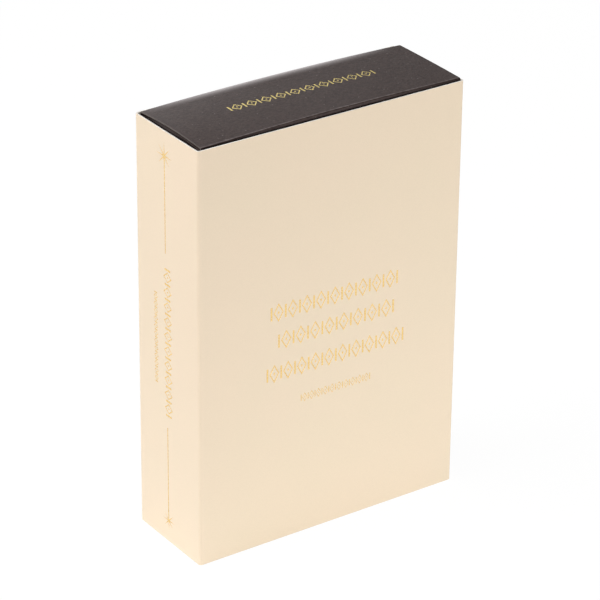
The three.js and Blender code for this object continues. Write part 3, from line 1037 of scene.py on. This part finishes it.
def head_stations(neck):
    """Height, width and squareness up the head, from the wood to the tip."""
    profile = [
        (0.0, 0.66, SQUARE), (0.05, 0.72, 6.0), (0.12, 0.80, 4.0), (0.22, 0.89, 2.8), (0.36, 0.97, 2.2),
        (0.50, 1.00, ROUND), (0.64, 0.96, ROUND), (0.77, 0.85, ROUND), (0.87, 0.69, ROUND),
        (0.95, 0.46, ROUND), (1.0, 0.20, ROUND),
    ]
    return [(neck + HEAD_LENGTH * share, HEAD_WIDTH * width, exponent) for share, width, exponent in profile]


def draw_match(bm, length):
    neck = length - HEAD_LENGTH
    stations = [(0.0, SPLINT_WIDTH, SQUARE), (neck * 0.5, SPLINT_WIDTH, SQUARE), (neck, SPLINT_WIDTH, SQUARE)]
    stations += head_stations(neck)
    ring = bmesh.ops.create_circle(bm, segments=RING, radius=SPLINT_WIDTH / 2, cap_ends=True)["verts"]
    row = list(bm.edges)
    for k, (height, width, exponent) in enumerate(stations):
        if k:
            row = flat(bm, row, (0, 0, MM))
            ring = ends_of(row)
        ring.sort(key=lambda v: math.atan2(v.co.y, v.co.x) % (2 * math.pi))
        for v, p in zip(ring, ring_points(width, exponent)):
            v.co = (p.x, p.y, height)
    bmesh.ops.contextual_create(bm, geom=row)


# %% [markdown]
# The wood has straight pale grain, from noise that is stretched along the splint, and each splint has its own
# tint, from noise that doesn't change along it. The paste is dull and a little lumpy, and starts at a line
# that wanders, as a dipped line does.

# %% The finish of a match
WOOD_DARK = (0.66, 0.46, 0.26, 1)
WOOD_PALE = (0.86, 0.70, 0.48, 1)
PASTE_DARK = (0.10, 0.022, 0.018, 1)
PASTE_PALE = (0.19, 0.050, 0.038, 1)
GRAIN_STRETCH = (2.6, 2.6, 0.09)
LINE_WANDER = 1.6
MATCH_DEPTH = 0.00006


def match_material(head_line):
    material, tree, shader, _ = new_material("match")
    place, (_, _, z) = millimetres(tree)
    stretched = add(tree, "ShaderNodeVectorMath", {0: place, 1: GRAIN_STRETCH}, operation="MULTIPLY")
    grain = add(tree, "ShaderNodeTexNoise", {"Vector": stretched.outputs[0], "Scale": 1.0, "Detail": 5.0})
    column = add(tree, "ShaderNodeVectorMath", {0: place, 1: (1.0, 1.0, 0.0)}, operation="MULTIPLY")
    tint = add(tree, "ShaderNodeTexNoise", {"Vector": column.outputs[0], "Scale": 0.35, "Detail": 1.0})
    uneven = add(tree, "ShaderNodeTexNoise", {"Vector": column.outputs[0], "Scale": 0.9})
    line = maths(tree, "MULTIPLY_ADD", uneven.outputs["Fac"], LINE_WANDER, head_line / MM - LINE_WANDER / 2)
    on_head = maths(tree, "GREATER_THAN", z, line)

    pale = mix_colour(tree, tint.outputs["Fac"], WOOD_DARK, WOOD_PALE)
    streak = maths(tree, "MULTIPLY_ADD", grain.outputs["Fac"], 0.5, 0.72)
    wood = add(tree, "ShaderNodeHueSaturation", {"Color": pale, "Value": streak}).outputs[0]
    lumps = add(tree, "ShaderNodeTexNoise", {"Vector": place, "Scale": 3.5, "Detail": 4.0})
    paste = mix_colour(tree, lumps.outputs["Fac"], PASTE_DARK, PASTE_PALE)
    tree.links.new(mix_colour(tree, on_head, wood, paste), shader.inputs["Base Color"])
    tree.links.new(maths(tree, "MULTIPLY_ADD", on_head, 0.1, 0.7), shader.inputs["Roughness"])
    shader.inputs["Specular IOR Level"].default_value = 0.3
    height = maths(tree, "ADD", lumps.outputs["Fac"], grain.outputs["Fac"])
    dent(tree, shader, height, MATCH_DEPTH)
    return material


# %% [markdown]
# A match's seat is its foot, its lean and its turn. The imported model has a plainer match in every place, so
# the mean of the points at its two ends gives the foot and the tip. The turn comes from the foot's corners:
# four times a corner's angle is the same for all four, so their mean tells how the square is turned.

# %% Where a match stands
END_REACH = 0.3 * MM


def ring_at(points, height, reach):
    """The points of a match within reach of a height."""
    return [p for p in points if abs(p.z - height) < reach]


def seat_of(node):
    """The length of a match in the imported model, and the matrix that moves an upright one to its place."""
    points = [v.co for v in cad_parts[node].data.vertices]
    feet = ring_at(points, min(p.z for p in points), END_REACH)
    tips = ring_at(points, max(p.z for p in points), END_REACH)
    foot, tip = (sum(ring, Vector()) / len(ring) for ring in (feet, tips))
    corner = [4 * math.atan2(p.y - foot.y, p.x - foot.x) for p in feet]
    phase = math.atan2(sum(math.sin(a) for a in corner), sum(math.cos(a) for a in corner))
    lean = Vector((0, 0, 1)).rotation_difference((tip - foot).normalized())
    turning = Quaternion((0, 0, 1), (phase - math.pi) / 4)
    return (tip - foot).length, Matrix.Translation(foot) @ (lean @ turning).to_matrix().to_4x4()


match_nodes = sorted(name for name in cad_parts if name.startswith("match_"))
match_length, first_seat = seat_of(match_nodes[0])
print("matches:", len(match_nodes), "length, in mm:", round(match_length / MM, 2))

# %% [markdown]
# Now each match is drawn upright, moved to its seat and given its finish. An angle decides which edges stay
# sharp, so the square end of the wood is crisp and the head stays round.

# %% Draw the matches
CRISP = math.radians(50)

match_look = match_material(first_seat.translation.z + match_length - HEAD_LENGTH)
for node in match_nodes:
    length, seat = seat_of(node)
    bm = bmesh.new()
    draw_match(bm, length)
    bmesh.ops.recalc_face_normals(bm, faces=bm.faces)
    bmesh.ops.transform(bm, matrix=seat, verts=bm.verts)
    mesh = bpy.data.meshes.new(node + "_wood")
    bm.to_mesh(mesh)
    bm.free()
    mesh.shade_smooth()
    mesh.set_sharp_from_angle(angle=CRISP)
    mesh.materials.append(match_look)
    match = bpy.data.objects.new(node + "_wood", mesh)
    bpy.context.scene.collection.objects.link(match)
    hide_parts(node)
    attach(match, "tray")
print("drawn:", len(match_nodes), "matches in", match_look.name)
